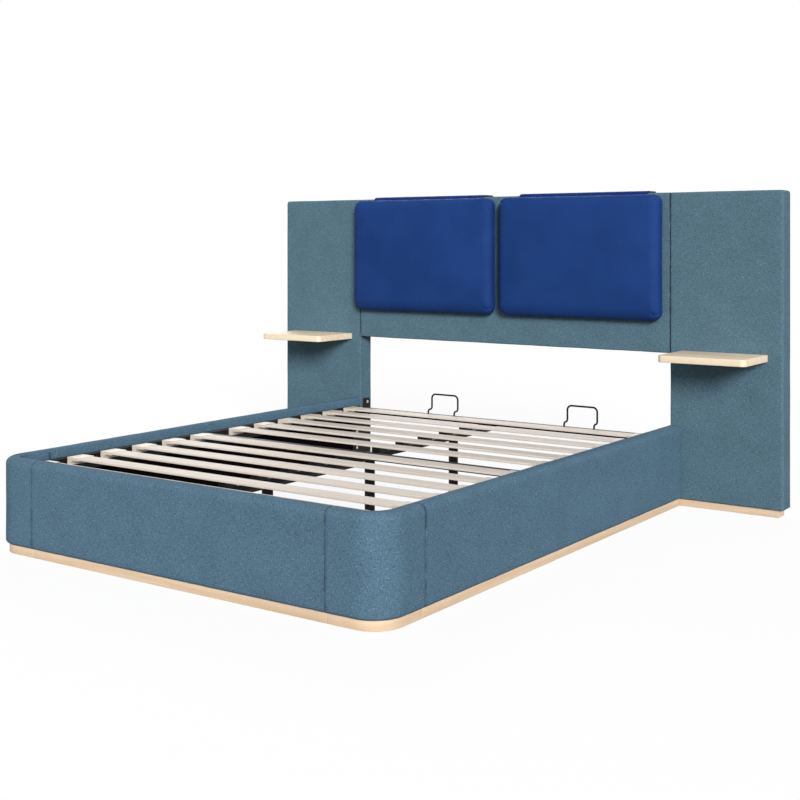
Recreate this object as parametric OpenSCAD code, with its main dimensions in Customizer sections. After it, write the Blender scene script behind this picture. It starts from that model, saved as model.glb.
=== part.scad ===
// Upholstered platform bed with a wide headboard, two floating shelves,
// two hanging backrest cushions and a steel and beech slat base.
// Millimetres. +Z is up, +Y points to the headboard, X = 0 is the bed's middle.
// The origin is on the floor, at the centre of the whole bed's footprint.

/* [Bed body] */
// Outer width of the bed body
body_w = 1714; // [1500:2:1900]
// Outer face of the foot rail to the front face of the headboard
body_l = 2110; // [2000:10:2300]
// Height of the upholstered rails above the floor
rail_top = 336; // [310:1:400]
// Thickness of an upholstered rail, padding included
rail_t = 50; // [40:1:52]
// Thickness of the foam and cloth on the outer face of a rail
rail_pad = 9; // [5:1:10]
// How far the cloth comes down the inner face of a rail
wrap_drop = 42; // [30:1:50]
// Outer plan radius of the two foot corners
corner_r = 108; // [80:1:130]
// Foot corner module, measured along the foot from the sharp corner
corner_foot = 209; // [170:1:260]
// Foot corner module, measured along the side from the sharp corner
corner_side = 212; // [180:1:280]
// Edge radius of the padding along the top outside
edge_r = 20; // [10:1:20]

/* [Plinth] */
// Height of the oak plinth
plinth_h = 31; // [25:1:45]
// How far the plinth stands back from the face above it
plinth_inset = 12; // [8:1:20]
// Height of the plinth's inner fillet, which locates the board
fillet_h = 53; // [45:1:60]
// Thickness of that inner fillet
fillet_t = 19; // [14:1:24]

/* [Headboard] */
// Overall width of the headboard
head_w = 2566; // [2400:2:2800]
// Height of the headboard above the floor
head_h = 1305; // [1250:1:1450]
// Thickness of the headboard, padding included
head_t = 88; // [80:1:110]
// Height of the lower edge of the centre panel
panel_z = 633; // [600:1:680]
// Thickness of the foam and cloth on the headboard
head_pad = 10; // [6:1:14]
// Radius of the headboard's padded edges
head_r = 13; // [8:1:24]
// Inset of the wing plinths from the wings' sides
wing_inset = 22; // [10:1:30]

/* [Shelves] */
// Width of a shelf
shelf_w = 360; // [300:2:380]
// Depth of a shelf from the headboard
shelf_d = 260; // [250:2:340]
// Thickness of a shelf
shelf_t = 28; // [22:1:34]
// Height of the shelf's top
shelf_z = 647; // [560:1:700]
// Middle of a shelf from the bed's middle
shelf_x = 1040; // [1030:1:1060]
// Radius of the shelf's front corners
shelf_r = 22; // [10:1:100]
// Diameter of the hidden steel rods that carry a shelf
rod_d = 12; // [8:1:14]
// Distance between the two rods of a shelf
rod_pitch = 240; // [180:2:280]

/* [Cushions] */
// Width of a cushion
cushion_w = 772; // [600:2:780]
// Height of a cushion
cushion_h = 525; // [400:1:600]
// Thickness of a cushion at its crown
cushion_t = 88; // [60:1:110]
// Height of the cushions' lower edge
cushion_z = 773; // [690:1:900]
// Middle of the left cushion from the bed's middle
cushion_left = 412; // [400:1:440]
// Middle of the right cushion from the bed's middle
cushion_right = 397; // [396:1:440]
// Width of the flap that hangs a cushion
flap_w = 618; // [400:2:700]
// Thickness of the flap
flap_t = 8; // [5:1:10]
// How far the flap comes down behind the cushion
flap_front = 120; // [80:1:200]
// How far the flap comes down behind the headboard
flap_back = 150; // [80:1:250]

/* [Slat base] */
// Height of the top of the slats
slat_top = 304; // [290:1:310]
// Width of a slat
slat_w = 70; // [50:1:90]
// Thickness of a slat
slat_t = 8; // [7:1:12]
// First slat from the outer face of the foot rail
slat_first = 99; // [95:1:105]
// Extra space between the two halves of the base
half_gap = 71; // [71:1:90]
// Width of the steel frame tubes
tube_w = 30; // [25:1:32]
// Height of the steel frame tubes
tube_h = 25; // [20:1:30]
// Wall of the steel tubes
tube_wall = 1.5; // [1.2:0.1:3]
// Width of the centre beam
beam_w = 40; // [30:1:60]
// Height of the centre beam
beam_h = 20; // [20:1:30]
// Diameter of the centre legs
leg_d = 40; // [30:1:50]
// Length of a slat holder
holder_l = 60; // [50:1:80]
// Wall of a slat holder
holder_wall = 2; // [1.5:0.1:3]
// Height of the ledges that carry the frame
ledge_h = 30; // [20:1:40]
// Width of those ledges
ledge_w = 42; // [36:1:48]

/* [Mattress hoops] */
// Diameter of the hoops' steel rod
hoop_d = 8; // [6:0.5:8]
// Width of a hoop, between the middles of its legs
hoop_w = 142; // [100:1:180]
// Height of a hoop above the frame tube
hoop_h = 92; // [80:1:140]
// How far a hoop steps back towards the headboard
hoop_step = 31; // [26:1:40]
// Middle of the left hoop from the bed's middle
hoop_left = 268; // [200:1:400]
// Middle of the right hoop from the bed's middle
hoop_right = 436; // [200:1:440]

/* [Fit] */
// Gap around a cushion's flap, so that it slides along the headboard
slide_gap = 0.5; // [0.4:0.1:2]
// Gap between a soft piece and its neighbour
soft_gap = 0.3; // [0.2:0.1:1]
// Gap between a rod or screw and its hole, on the radius
hole_gap = 0.2; // [0.1:0.05:0.5]
// Gap between a slat and its holder
slat_gap = 0.2; // [0.1:0.1:0.5]

/* [Hidden] */
$fn = 48;

// Colours
blue_cloth = [0.32, 0.44, 0.50];
oak = [0.87, 0.74, 0.58];
beech = [0.87, 0.81, 0.75];
timber = [0.78, 0.66, 0.48];
black_timber = [0.06, 0.05, 0.05];
black_steel = [0.10, 0.10, 0.11];
black_cloth = [0.07, 0.06, 0.06];
blue_leather = [0.05, 0.13, 0.50];
navy = [0.07, 0.10, 0.30];
zinc = [0.75, 0.76, 0.78];

// Lines along Y, from the foot to the back of the headboard
total_l = body_l + head_t + slide_gap + flap_t;
y_foot = -total_l / 2;
y_head = y_foot + body_l;
y_back = y_head + head_t;
half_w = body_w / 2;
inner_x = half_w - rail_t;

// Cross-section of a rail: t runs inwards from the outer face
wrap_t = 5;
lip = 2;
cloth_t = 1.2;
board_t = rail_t - wrap_t;
board_z = plinth_h + lip;
wrap_z = rail_top - wrap_drop;
inner_r = 7;
outer_r = min(edge_r, 3 * rail_pad);
lower_r = 1.5 * rail_pad;
face_x = half_w - board_t - cloth_t;

// Slat base
slat_count = 12;
saddle_l = 50;
head_room = 86;
tube_gap = 5;
side_gap = 12;
foot_gap = 8;
frame_end = body_l - head_room;
slat_run = frame_end - tube_w - tube_gap - slat_w - slat_first;
slat_pitch = (slat_run - half_gap) / (slat_count - 1);
slat_z = slat_top - slat_t;
tube_top = slat_top - 2;
tube_z = tube_top - tube_h;
beam_z = tube_z - beam_h;
tube_x = inner_x - side_gap;
tube_in = tube_x - tube_w;
foot_y = rail_t + foot_gap;
mid_y = slat_y(slat_count / 2 - 1) + slat_w + tube_gap;
head_y = frame_end - tube_w;
holder_root = 8;
holder_foot = 17;
holder_step = 5;
pocket = holder_l - holder_root;
slat_end = tube_in - holder_root;
leg_first = 495;
leg_pitch = 600;
flange_t = 4;
leg_foot_wall = 2;
leg_foot_h = 12;
leg_seat = 6;

// Fixing plates and their screws
plate_t = 3;
screw_r = 3;
screw_head_r = 7;
screw_head_h = 4;
screw_l = 24;
seam_plate = [120, 150];
seam_plate_z = 80;
screw_edge = 35;
screw_side = 22;
cleat = [140, 40];
cleat_screws = [-50, -28, 28, 50];
cleat_heights = [730, 1040];
bracket_z = 62;
bracket_top = 328;
bracket_rail = 65;
bracket_wing = 74;
bracket_step = 19;
bracket_low = 6;
bracket_cut = 12;
bracket_x = inner_x - soft_gap - plate_t;

// Headboard
wing_w = head_w / 2 - inner_x;
front_r = min(head_r, 3 * head_pad);
back_r = 0.6 * head_pad;
seam_r = 0.6 * head_pad;
ply_t = 9;
stile_w = 50;
rib_w = 40;
rod_in = 60;
rod_out = 150;
rod_z = shelf_z - shelf_t / 2;

// Cushions
cushion_y = y_head - slide_gap - flap_t - soft_gap;
flap_top = head_h + slide_gap + flap_t;

// Start of a slat from the outer face of the foot rail, counted from 0
function slat_y(i) = slat_first + i * slat_pitch + (i < slat_count / 2 ? 0 : half_gap);

// Screw places on a plate at a rail seam, along the seam's length and in height
function seam_screws() = [
    for (s = [-1, 1], z = [screw_edge, seam_plate[1] - screw_edge])
        [s * (seam_plate[0] / 2 - screw_side), seam_plate_z + z]
];
// Screw places on a head bracket, from the headboard's front face and in height
function bracket_screws() = [[-37, 93], [-37, 170], [-37, 247], [48, 93], [48, 206], [48, 309]];

// 2D helpers
module spandrel(r) {
    difference() {
        square(r);
        translate([r, r]) circle(r);
    }
}

// A rectangle with its own radius at each corner: lower left, lower right, upper right, upper left
module soft_rect(w, h, r) {
    difference() {
        square([w, h]);
        spandrel(r[0]);
        translate([w, 0]) mirror([1, 0]) spandrel(r[1]);
        translate([w, h]) rotate(180) spandrel(r[2]);
        translate([0, h]) mirror([0, 1]) spandrel(r[3]);
    }
}

// 3D placing: a section drawn in (t, z) is carried along a rail of the right half
module foot_run(x0, x1) {
    translate([x0, y_foot, 0]) rotate([90, 0, 90]) linear_extrude(x1 - x0) children();
}
module side_run(y0, y1) {
    translate([half_w, y_foot + y1, 0]) mirror([1, 0, 0]) rotate([90, 0, 0])
        linear_extrude(y1 - y0) children();
}
module corner_run() {
    translate([half_w - corner_r, y_foot + corner_r, 0]) rotate([0, 0, -90])
        rotate_extrude(angle = 90) translate([corner_r, 0]) mirror([1, 0]) children();
}
module corner_path() {
    foot_run(half_w - corner_foot, half_w - corner_r) children();
    corner_run() children();
    side_run(corner_r, corner_side) children();
}
module on_left() { mirror([1, 0, 0]) children(); }

// Rail sections
module cover_section() {
    difference() {
        translate([0, plinth_h]) soft_rect(rail_t, rail_top - plinth_h, [lower_r, 0.01, inner_r, outer_r]);
        translate([rail_pad, board_z]) square([board_t - rail_pad, rail_top - rail_pad - board_z]);
        translate([board_t, plinth_h - 1]) square([rail_t, wrap_z - plinth_h + 1]);
    }
}
module board_section() {
    translate([rail_pad, board_z]) square([board_t - rail_pad, rail_top - rail_pad - board_z]);
}
module plinth_section() {
    polygon([
        [plinth_inset, 0], [board_t + fillet_t, 0], [board_t + fillet_t, fillet_h],
        [board_t, fillet_h], [board_t, plinth_h], [plinth_inset, plinth_h]
    ]);
}
module lining_section() {
    translate([board_t, fillet_h + 1]) square([cloth_t, wrap_z - fillet_h - 2]);
}

// Holes and screws share these places
module seam_spots() {
    // side seam, screws along +X
    for (p = seam_screws())
        translate([face_x - plate_t, y_foot + corner_side + p[0], p[1]]) rotate([0, 90, 0]) children();
    // foot seam, screws along -Y
    for (p = seam_screws())
        translate([half_w - corner_foot + p[0], y_foot + board_t + cloth_t + plate_t, p[1]])
            rotate([90, 0, 0]) children();
}
module bracket_spots() {
    for (p = bracket_screws()) translate([bracket_x, y_head + p[0], p[1]]) rotate([0, 90, 0]) children();
}
module cleat_spots() {
    for (z = cleat_heights, x = cleat_screws)
        translate([inner_x + x, y_back + plate_t, z]) rotate([90, 0, 0]) children();
}
module leg_spots() {
    for (i = [0:2]) translate([0, y_foot + leg_first + i * leg_pitch, 0]) children();
}
module screw_hole() { translate([0, 0, -1]) cylinder(r = screw_r + hole_gap, h = screw_l + 3); }
module screw(length) {
    difference() {
        union() {
            cylinder(r = screw_r, h = length);
            translate([0, 0, -screw_head_h]) cylinder(r = screw_head_r, h = screw_head_h);
        }
        translate([0, 0, -screw_head_h - 1]) cylinder(r = 2.4, h = 3.4, $fn = 6);
    }
}

// Bed body
module foot_rail_board() {
    color(timber) difference() {
        foot_run(corner_foot - half_w, half_w - corner_foot) board_section();
        seam_spots() screw_hole();
        on_left() seam_spots() screw_hole();
    }
}
module foot_rail_cover() {
    color(blue_cloth) foot_run(corner_foot - half_w, half_w - corner_foot) cover_section();
}
module side_rail_board_right() {
    color(timber) difference() {
        side_run(corner_side, body_l) board_section();
        seam_spots() screw_hole();
        bracket_spots() screw_hole();
    }
}
module side_rail_board_left() { on_left() side_rail_board_right(); }
module side_rail_cover_right() { color(blue_cloth) side_run(corner_side, body_l) cover_section(); }
module side_rail_cover_left() { on_left() side_rail_cover_right(); }
module corner_board_right() {
    color(timber) difference() {
        corner_path() board_section();
        seam_spots() screw_hole();
    }
}
module corner_board_left() { on_left() corner_board_right(); }
module corner_cover_right() { color(blue_cloth) corner_path() cover_section(); }
module corner_cover_left() { on_left() corner_cover_right(); }
module plinth_foot() { color(oak) foot_run(corner_foot - half_w, half_w - corner_foot) plinth_section(); }
module plinth_right() { color(oak) side_run(corner_side, body_l) plinth_section(); }
module plinth_left() { on_left() plinth_right(); }
module plinth_corner_right() { color(oak) corner_path() plinth_section(); }
module plinth_corner_left() { on_left() plinth_corner_right(); }
module rail_lining() {
    color(black_cloth) difference() {
        union() {
            foot_run(corner_foot - half_w, half_w - corner_foot) lining_section();
            corner_path() lining_section();
            side_run(corner_side, body_l) lining_section();
            on_left() corner_path() lining_section();
            on_left() side_run(corner_side, body_l) lining_section();
        }
        seam_spots() screw_hole();
        bracket_spots() screw_hole();
        on_left() seam_spots() screw_hole();
        on_left() bracket_spots() screw_hole();
    }
}
module ledge() {
    y0 = corner_side + 4;
    y1 = body_l - bracket_rail - 4;
    translate([face_x - ledge_w, y_foot + y0, tube_z - ledge_h]) cube([ledge_w, y1 - y0, ledge_h]);
}
module ledges() {
    color(black_timber) {
        ledge();
        on_left() ledge();
    }
}
module seam_plates() {
    difference() {
        union() {
            translate([face_x - plate_t, y_foot + corner_side - seam_plate[0] / 2, seam_plate_z])
                cube([plate_t, seam_plate[0], seam_plate[1]]);
            translate([half_w - corner_foot - seam_plate[0] / 2, y_foot + board_t + cloth_t, seam_plate_z])
                cube([seam_plate[0], plate_t, seam_plate[1]]);
        }
        seam_spots() screw_hole();
    }
}
module corner_plates() {
    color(black_steel) {
        seam_plates();
        on_left() seam_plates();
    }
}
module head_bracket() {
    difference() {
        translate([bracket_x, y_head, 0]) rotate([90, 0, 90]) linear_extrude(plate_t) polygon([
            [-bracket_rail, bracket_z], [bracket_wing, bracket_z], [bracket_wing, bracket_top - bracket_cut],
            [bracket_wing - bracket_cut, bracket_top], [bracket_step, bracket_top],
            [bracket_step, wrap_z - bracket_low], [bracket_cut - bracket_rail, wrap_z - bracket_low],
            [-bracket_rail, wrap_z - bracket_low - bracket_cut]
        ]);
        bracket_spots() screw_hole();
    }
}
module head_brackets() {
    color(black_steel) {
        head_bracket();
        on_left() head_bracket();
    }
}

// Headboard: an upholstered block, rounded in all three views
module padded_block(x0, x1, z0, z1, side_r0, side_r1, corner0, corner1) {
    intersection() {
        translate([x0, y_head, z0])
            linear_extrude(z1 - z0) soft_rect(x1 - x0, head_t, [side_r0, side_r1, back_r, back_r]);
        translate([x0 - 1, y_head, z0]) rotate([90, 0, 90]) linear_extrude(x1 - x0 + 2)
            soft_rect(head_t, z1 - z0, [back_r, back_r, back_r, front_r]);
        translate([x0, y_back + 1, z0]) rotate([90, 0, 0]) linear_extrude(head_t + 2)
            soft_rect(x1 - x0, z1 - z0, [back_r, back_r, corner1, corner0]);
    }
}
module core_block(x0, x1, z0, z1) {
    translate([x0, y_head + head_pad, z0]) cube([x1 - x0, head_t - head_pad - cloth_t, z1 - z0]);
}
module wing_core_block() {
    core_block(inner_x + head_pad, head_w / 2 - head_pad, board_z, head_h - head_pad);
}
module panel_core_block() {
    core_block(head_pad - inner_x, inner_x - head_pad, panel_z + head_pad, head_h - head_pad);
}
// A cell of a core, open at the back
module cell(x0, x1, z0, z1) {
    translate([x0, y_head + head_pad + ply_t, z0]) cube([x1 - x0, head_t, z1 - z0]);
}
module wing_cells() {
    x0 = inner_x + head_pad + stile_w;
    x1 = head_w / 2 - head_pad - stile_w;
    xm = (x0 + x1) / 2;
    spans = [[board_z + stile_w, rod_z - rib_w], [rod_z + rib_w, head_h - head_pad - stile_w]];
    for (s = spans) {
        mid = (s[0] + s[1]) / 2;
        for (z = [[s[0], mid - rib_w / 2], [mid + rib_w / 2, s[1]]]) {
            cell(x0, xm - rib_w / 2, z[0], z[1]);
            cell(xm + rib_w / 2, x1, z[0], z[1]);
        }
    }
}
module rod_spots() {
    for (s = [-1, 1])
        translate([shelf_x + s * rod_pitch / 2, y_head + rod_in, rod_z]) rotate([90, 0, 0]) children();
}
module rod_hole() { translate([0, 0, -2]) cylinder(r = rod_d / 2 + hole_gap, h = rod_in + rod_out + 4); }
module wing_core_right() {
    color(timber) difference() {
        wing_core_block();
        wing_cells();
        rod_spots() rod_hole();
        bracket_spots() screw_hole();
        cleat_spots() screw_hole();
    }
}
module wing_core_left() { on_left() wing_core_right(); }
module wing_cover_right() {
    color(blue_cloth) difference() {
        padded_block(inner_x, head_w / 2, plinth_h, head_h, seam_r, front_r, seam_r, front_r);
        wing_core_block();
        translate([inner_x + head_pad, y_back - cloth_t, board_z])
            cube([wing_w - 2 * head_pad, head_pad, head_h - head_pad - board_z]);
        rod_spots() rod_hole();
        bracket_spots() screw_hole();
    }
}
module wing_cover_left() { on_left() wing_cover_right(); }
module wing_plinth_right() {
    color(oak) translate([inner_x + plinth_inset, y_head + plinth_inset, 0])
        cube([wing_w - plinth_inset - wing_inset, head_t - 2 * plinth_inset, plinth_h]);
}
module wing_plinth_left() { on_left() wing_plinth_right(); }
module panel_core() {
    columns = 7;
    x0 = head_pad + stile_w - inner_x;
    step = (-2 * x0 + rib_w) / columns;
    z0 = panel_z + head_pad + stile_w;
    z1 = head_h - head_pad - stile_w;
    zm = (z0 + z1) / 2;
    color(timber) difference() {
        panel_core_block();
        for (i = [0:columns - 1], z = [[z0, zm - rib_w / 2], [zm + rib_w / 2, z1]])
            cell(x0 + i * step, x0 + (i + 1) * step - rib_w, z[0], z[1]);
        cleat_spots() screw_hole();
        on_left() cleat_spots() screw_hole();
    }
}
module panel_cover() {
    color(blue_cloth) difference() {
        padded_block(-inner_x, inner_x, panel_z, head_h, seam_r, seam_r, seam_r, seam_r);
        panel_core_block();
        translate([head_pad - inner_x, y_back - cloth_t, panel_z + head_pad])
            cube([2 * (inner_x - head_pad), head_pad, head_h - panel_z - 2 * head_pad]);
    }
}
module back_sheet(x0, x1, z0) {
    translate([x0, y_back - cloth_t, z0]) cube([x1 - x0, cloth_t, head_h - head_pad - z0]);
}
module back_cloth() {
    color(black_cloth) difference() {
        union() {
            back_sheet(head_pad - inner_x, inner_x - head_pad, panel_z + head_pad);
            back_sheet(inner_x + head_pad, head_w / 2 - head_pad, board_z);
            on_left() back_sheet(inner_x + head_pad, head_w / 2 - head_pad, board_z);
        }
        cleat_spots() screw_hole();
        on_left() cleat_spots() screw_hole();
    }
}
module panel_cleat_pair() {
    difference() {
        for (z = cleat_heights) translate([inner_x - cleat[0] / 2, y_back, z - cleat[1] / 2])
            cube([cleat[0], plate_t, cleat[1]]);
        cleat_spots() screw_hole();
    }
}
module panel_cleats() {
    color(black_steel) {
        panel_cleat_pair();
        on_left() panel_cleat_pair();
    }
}

// Shelves
module shelf_right() {
    color(oak) difference() {
        translate([shelf_x - shelf_w / 2, y_head - shelf_d, shelf_z - shelf_t])
            linear_extrude(shelf_t) soft_rect(shelf_w, shelf_d, [shelf_r, shelf_r, 0.01, 0.01]);
        rod_spots() rod_hole();
    }
}
module shelf_left() { on_left() shelf_right(); }
module shelf_rods() {
    color(zinc) {
        rod_spots() cylinder(r = rod_d / 2, h = rod_in + rod_out);
        on_left() rod_spots() cylinder(r = rod_d / 2, h = rod_in + rod_out);
    }
}

// Cushions: a flat back, rounded edges, a crowned front and sides drawn in between the corners.
// A unit square's edge is walked in even steps and bent to |x|^n + |z|^n = 1, so the corners are round.
cushion_around = 64;
cushion_power = 16;
cushion_draw_x = 0.008;
cushion_draw_z = 0.014;
crown = 14;
edge_back = 22;
edge_front = 40;
function on_square(u) =
    let (side = floor(u), s = 2 * (u - side) - 1)
    side == 0 ? [1, s] : side == 1 ? [-s, 1] : side == 2 ? [-1, -s] : [s, -1];
function outline(u) =
    let (
        p = on_square(u),
        size = pow(pow(abs(p[0]), cushion_power) + pow(abs(p[1]), cushion_power), 1 / cushion_power),
        q = p / size
    )
    [q[0] * (1 - cushion_draw_x * (1 - q[1] * q[1])), q[1] * (1 - cushion_draw_z * (1 - q[0] * q[0]))];
outline_points = [for (i = [0:cushion_around - 1]) outline(4 * (i + 0.5) / cushion_around)];
outline_reach = [for (k = [0:1]) max([for (p = outline_points) p[k]])];
// Rows from the back's edge round to the middle of the front: inset from the side, distance from the
// back, and how much of the front is left outside the row
edge_z = cushion_t - crown - edge_front;
crown_steps = 7;
function cushion_rows() = concat(
    [for (a = [90:-30:0]) [edge_back * (1 - cos(a)), edge_back * (1 - sin(a)), 1]],
    [for (a = [0:15:75]) [edge_front * (1 - cos(a)), edge_z + edge_front * sin(a), 1]],
    [for (k = [0:crown_steps - 1]) let (f = 1 - k / crown_steps)
        [edge_front, cushion_t - crown * pow(f, 2.6), f]]
);
module cushion_body() {
    rows = cushion_rows();
    ring = [
        for (row = rows, p = outline_points) [
            p[0] / outline_reach[0] * (cushion_w / 2 - row[0]) * row[2],
            -row[1],
            p[1] / outline_reach[1] * (cushion_h / 2 - row[0]) * row[2]
        ]
    ];
    points = concat(ring, [[0, 0, 0]], [[0, -cushion_t, 0]]);
    last = len(rows) - 1;
    back_pole = len(ring);
    front_pole = len(ring) + 1;
    function at(j, i) = j * cushion_around + i % cushion_around;
    sides = [
        for (j = [0:last - 1], i = [0:cushion_around - 1], k = [0:1])
            k == 0 ? [at(j, i), at(j, i + 1), at(j + 1, i + 1)] : [at(j, i), at(j + 1, i + 1), at(j + 1, i)]
    ];
    caps = [
        for (i = [0:cushion_around - 1], k = [0:1])
            k == 0 ? [back_pole, at(0, i + 1), at(0, i)] : [front_pole, at(last, i), at(last, i + 1)]
    ];
    polyhedron(points, concat(sides, caps));
}
module cushion_left() {
    color(blue_leather) translate([-cushion_left, cushion_y, cushion_z + cushion_h / 2]) cushion_body();
}
module cushion_right() {
    color(blue_leather) translate([cushion_right, cushion_y, cushion_z + cushion_h / 2]) cushion_body();
}
// A flap runs up behind the cushion, over the headboard and down its back
module flap(x) {
    y0 = y_head - slide_gap;
    depth = head_t + 2 * slide_gap;
    drop = max(flap_front, flap_back);
    z0 = flap_top - drop;
    color(navy) translate([x - flap_w / 2, 0, 0]) rotate([90, 0, 90]) linear_extrude(flap_w)
        difference() {
            translate([y0 - flap_t, z0])
                soft_rect(depth + 2 * flap_t, drop, [0.01, 0.01, back_r + flap_t, front_r + flap_t]);
            translate([y0, z0 - 1])
                soft_rect(depth, drop + 1 - flap_t, [0.01, 0.01, back_r, front_r]);
            translate([y0 - flap_t - 1, z0 - 1]) square([flap_t + 2, drop - flap_front + 1]);
            translate([y0 + depth - 1, z0 - 1]) square([flap_t + 2, drop - flap_back + 1]);
        }
}
module flap_left() { flap(-cushion_left); }
module flap_right() { flap(cushion_right); }

// Slat base
module box_tube(size, wall, along) {
    inner = [for (i = [0:2]) i == along ? size[i] + 2 : size[i] - 2 * wall];
    shift = [for (i = [0:2]) i == along ? -1 : wall];
    difference() {
        cube(size);
        translate(shift) cube(inner);
    }
}
module frame_tube_right() {
    chamfer = 20;
    color(black_steel) difference() {
        translate([tube_in, y_foot + foot_y, tube_z])
            box_tube([tube_w, frame_end - foot_y, tube_h], tube_wall, 1);
        translate([tube_x, y_foot + foot_y, tube_z - 1]) linear_extrude(tube_h + 2)
            polygon([[-chamfer, -1], [1, -1], [1, chamfer + 1], [0, chamfer + 1]]);
    }
}
module frame_tube_left() { on_left() frame_tube_right(); }
module cross_tube(y) {
    translate([-tube_in, y_foot + y, tube_z]) box_tube([2 * tube_in, tube_w, tube_h], tube_wall, 0);
}
module cross_tube_foot() { color(black_steel) cross_tube(foot_y); }
module cross_tube_mid() { color(black_steel) cross_tube(mid_y); }
module cross_tube_head() {
    color(black_steel) difference() {
        cross_tube(head_y);
        hoop_spots() translate([0, 0, -tube_h / 2]) cylinder(r = hoop_d / 2 + hole_gap, h = tube_h);
    }
}
module centre_beam() {
    color(black_steel) difference() {
        translate([-beam_w / 2, y_foot + foot_y, beam_z])
            box_tube([beam_w, frame_end - foot_y, beam_h], tube_wall, 1);
        leg_spots() translate([0, 0, beam_z - 1]) cylinder(r = screw_r + hole_gap, h = beam_h + 2);
    }
}
module centre_legs() {
    color(black_steel) leg_spots() difference() {
        union() {
            translate([0, 0, leg_seat]) cylinder(r = leg_d / 2, h = beam_z - flange_t - leg_seat);
            translate([-beam_w / 2, -beam_w, beam_z - flange_t]) cube([beam_w, 2 * beam_w, flange_t]);
        }
        translate([0, 0, leg_seat - 1]) cylinder(r = leg_d / 2 - 2, h = beam_z - flange_t - leg_seat + 1);
        translate([0, 0, beam_z - flange_t - 1]) cylinder(r = screw_r + hole_gap, h = flange_t + 2);
    }
}
module leg_feet() {
    color(black_cloth) leg_spots() difference() {
        cylinder(r = leg_d / 2 + leg_foot_wall, h = leg_foot_h);
        translate([0, 0, leg_seat]) cylinder(r = leg_d / 2 + hole_gap, h = leg_foot_h);
    }
}
module holder(i) {
    w = slat_w + 2 * (slat_gap + holder_wall);
    h = slat_top + slat_gap + holder_wall - tube_z;
    y = y_foot + slat_y(i) - slat_gap - holder_wall;
    sleeve = slat_z - slat_gap - holder_wall - tube_z;
    difference() {
        translate([tube_in, y + w, tube_z]) mirror([1, 0, 0]) rotate([90, 0, 0]) linear_extrude(w) polygon([
            [0, 0], [holder_foot, 0], [holder_foot + holder_step, sleeve], [holder_l, sleeve],
            [holder_l, h], [0, h]
        ]);
        translate([slat_end - pocket - 1, y + holder_wall, slat_z - slat_gap])
            cube([pocket + 1 + slat_gap, slat_w + 2 * slat_gap, slat_t + 2 * slat_gap]);
    }
}
module slat_holders() {
    color(beech) for (i = [0:slat_count - 1]) {
        holder(i);
        on_left() holder(i);
    }
}
module slat_saddles() {
    color(black_cloth) for (i = [0:slat_count - 1])
        translate([-beam_w / 2, y_foot + slat_y(i) + (slat_w - saddle_l) / 2, tube_z])
            cube([beam_w, saddle_l, slat_z - tube_z]);
}
module slat(i) {
    edge = 0.3 * slat_t;
    color(beech) translate([-slat_end, y_foot + slat_y(i), slat_z]) rotate([90, 0, 90])
        linear_extrude(2 * slat_end) soft_rect(slat_w, slat_t, [edge, edge, edge, edge]);
}

// Mattress hoops: two legs that step back above the frame tube and a bar with round corners
module hoop_spots() {
    for (x = [-hoop_left, hoop_right], s = [-1, 1])
        translate([x + s * hoop_w / 2, y_foot + head_y + tube_w / 2, tube_top]) children();
}
module hoop() {
    bend = 12;
    corner = 20;
    step_z = 7;
    top_z = hoop_h - hoop_d / 2;
    rod = hoop_d / 2;
    module quarter(r) { rotate_extrude(angle = 90) translate([r, 0]) circle(rod); }
    module leg() {
        translate([0, 0, -14]) cylinder(r = rod, h = 14 + step_z);
        translate([0, bend, step_z]) rotate([0, 90, 0]) rotate([0, 0, 180]) quarter(bend);
        translate([0, bend, step_z + bend]) rotate([-90, 0, 0]) cylinder(r = rod, h = hoop_step - 2 * bend);
        translate([0, hoop_step - bend, step_z + 2 * bend]) rotate([0, 90, 0]) quarter(bend);
        translate([0, hoop_step, step_z + 2 * bend])
            cylinder(r = rod, h = top_z - corner - step_z - 2 * bend);
    }
    for (s = [0, 1]) mirror([s, 0, 0]) {
        translate([hoop_w / 2, 0, 0]) leg();
        translate([hoop_w / 2 - corner, hoop_step, top_z - corner]) rotate([90, 0, 0]) quarter(corner);
        translate([0, hoop_step, top_z]) rotate([0, 90, 0]) cylinder(r = rod, h = hoop_w / 2 - corner);
    }
}
module mattress_hoops() {
    color(black_steel) for (x = [-hoop_left, hoop_right])
        translate([x, y_foot + head_y + tube_w / 2, tube_top]) hoop();
}

// Screws of the plates, and the three that hold the centre legs to the beam
module bolts() {
    color(zinc) {
        seam_spots() screw(screw_l);
        bracket_spots() screw(screw_l);
        cleat_spots() screw(screw_l);
        on_left() seam_spots() screw(screw_l);
        on_left() bracket_spots() screw(screw_l);
        on_left() cleat_spots() screw(screw_l);
        leg_spots() translate([0, 0, beam_z + beam_h]) mirror([0, 0, 1]) screw(beam_h + flange_t + 4);
    }
}

foot_rail_board();
foot_rail_cover();
side_rail_board_left();
side_rail_board_right();
side_rail_cover_left();
side_rail_cover_right();
corner_board_left();
corner_board_right();
corner_cover_left();
corner_cover_right();
plinth_foot();
plinth_left();
plinth_right();
plinth_corner_left();
plinth_corner_right();
rail_lining();
ledges();
corner_plates();
head_brackets();
wing_core_left();
wing_core_right();
wing_cover_left();
wing_cover_right();
wing_plinth_left();
wing_plinth_right();
panel_core();
panel_cover();
back_cloth();
panel_cleats();
shelf_left();
shelf_right();
shelf_rods();
cushion_left();
cushion_right();
flap_left();
flap_right();
frame_tube_left();
frame_tube_right();
cross_tube_foot();
cross_tube_mid();
cross_tube_head();
centre_beam();
centre_legs();
leg_feet();
slat_holders();
slat_saddles();
slat(0);  // slat_01
slat(1);  // slat_02
slat(2);  // slat_03
slat(3);  // slat_04
slat(4);  // slat_05
slat(5);  // slat_06
slat(6);  // slat_07
slat(7);  // slat_08
slat(8);  // slat_09
slat(9);  // slat_10
slat(10);  // slat_11
slat(11);  // slat_12
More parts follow.
